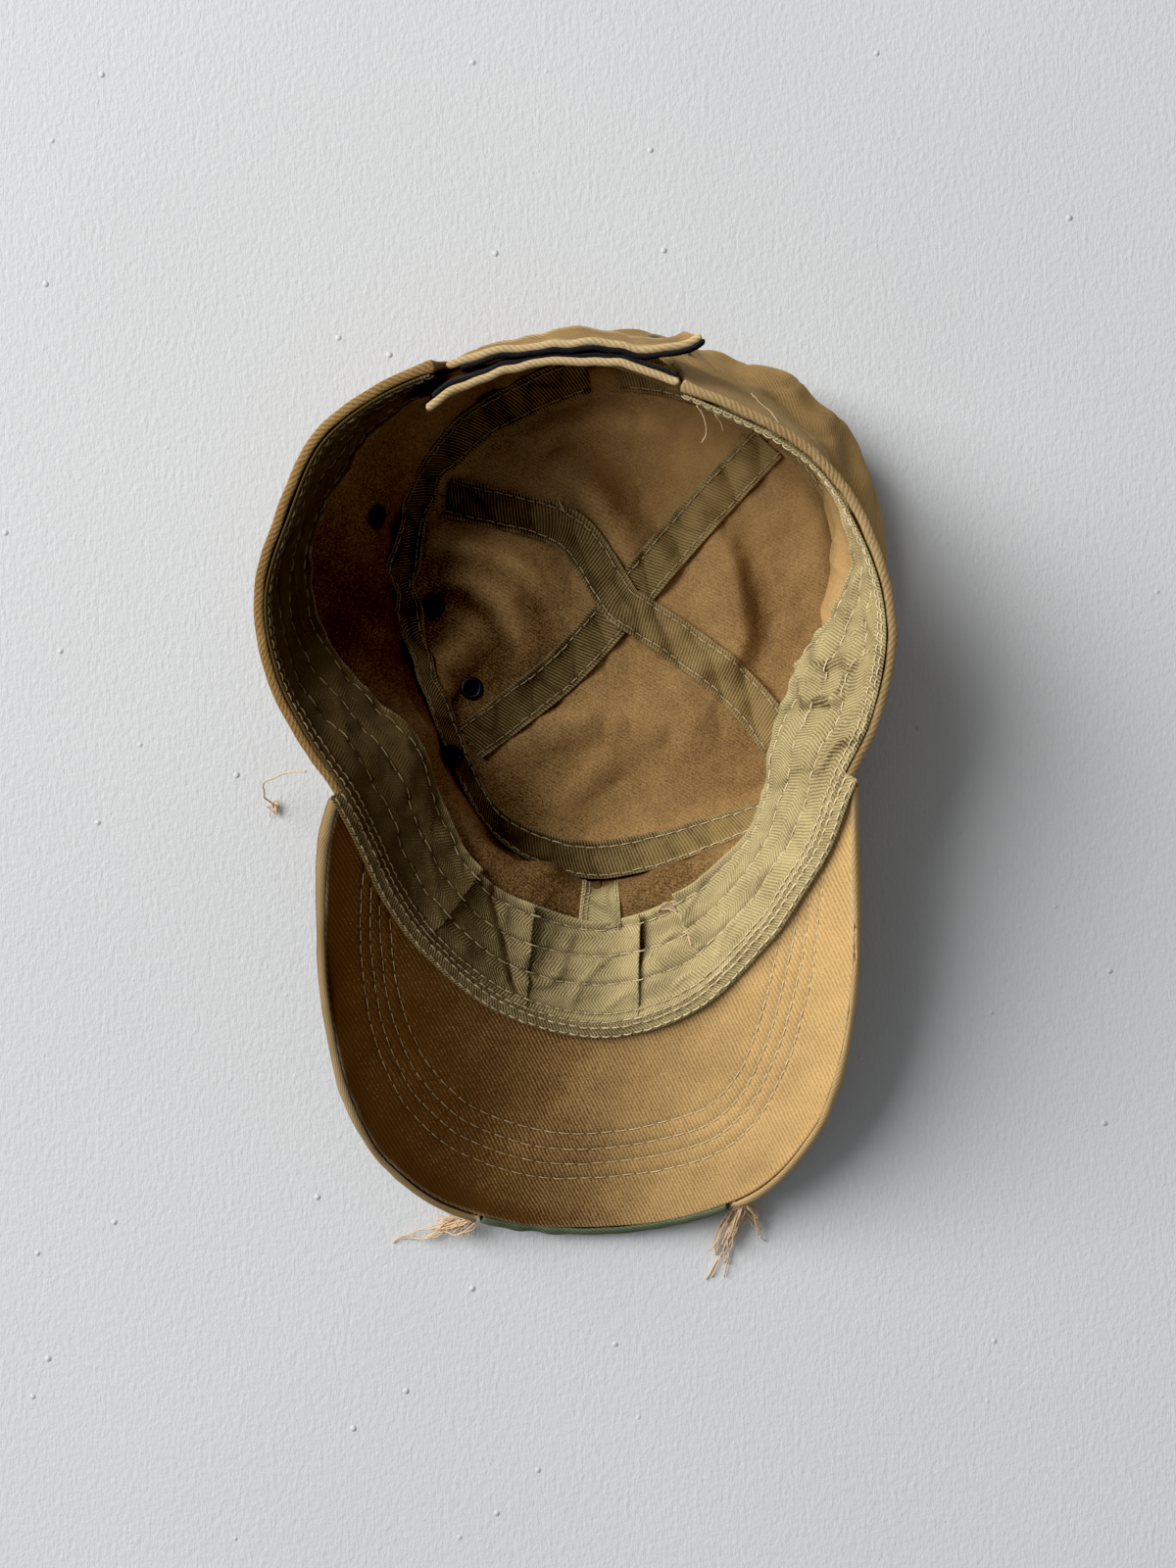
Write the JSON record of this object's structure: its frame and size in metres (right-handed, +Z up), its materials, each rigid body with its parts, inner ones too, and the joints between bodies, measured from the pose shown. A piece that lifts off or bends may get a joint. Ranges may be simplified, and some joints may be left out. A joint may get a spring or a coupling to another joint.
{
  "type": "cadet cap",
  "caption": "Worn tan cotton cadet cap with a flat-topped soft crown, a curved peak, an inside sweatband and a hook-and-loop back strap, lying upside down.",
  "frame": {"origin": "middle of the cap's bounding box, on the surface that it lies on", "axes": "the cap lies upside down on its crown: +Z up out of the head opening, -Y towards the peak's front, +X to the right as seen in the picture"},
  "size_m": [0.1814, 0.2769, 0.0843],
  "materials": {
    "twill": "worn brown twill, matte",
    "peak_twill": "tan twill with a diagonal line, matte",
    "tape": "olive tan herringbone tape, matte",
    "green_twill": "faded green twill, frayed",
    "fastener": "black hook and loop pile",
    "black_metal": "black satin"
  },
  "bodies": {
    "root": {"side_wall_left": "twill", "side_wall_right": "twill", "crown_top_back": "twill", "crown_top_left": "twill", "crown_top_front": "twill", "crown_top_right": "twill", "strap_inner": "twill", "strap_outer": "twill", "peak_lower_cloth": "peak_twill", "peak_upper_cloth": "peak_twill", "seam_tape_under": "tape", "seam_tape_over": "tape", "crown_edge_tape": "tape", "front_seam_tape": "tape", "sweatband_left": "tape", "sweatband_pleat_left": "tape", "sweatband_front": "tape", "sweatband_pleat_right": "tape", "sweatband_right": "tape", "peak_edge_patch": "green_twill", "back_patch": "green_twill", "loop_patch": "fastener", "hook_patch": "fastener", "eyelet_left_1": "black_metal", "eyelet_left_2": "black_metal", "eyelet_left_3": "black_metal", "eyelet_left_4": "black_metal", "eyelet_right_1": "black_metal", "eyelet_right_2": "black_metal", "eyelet_right_3": "black_metal", "eyelet_right_4": "black_metal"}
  },
  "joints": []
}
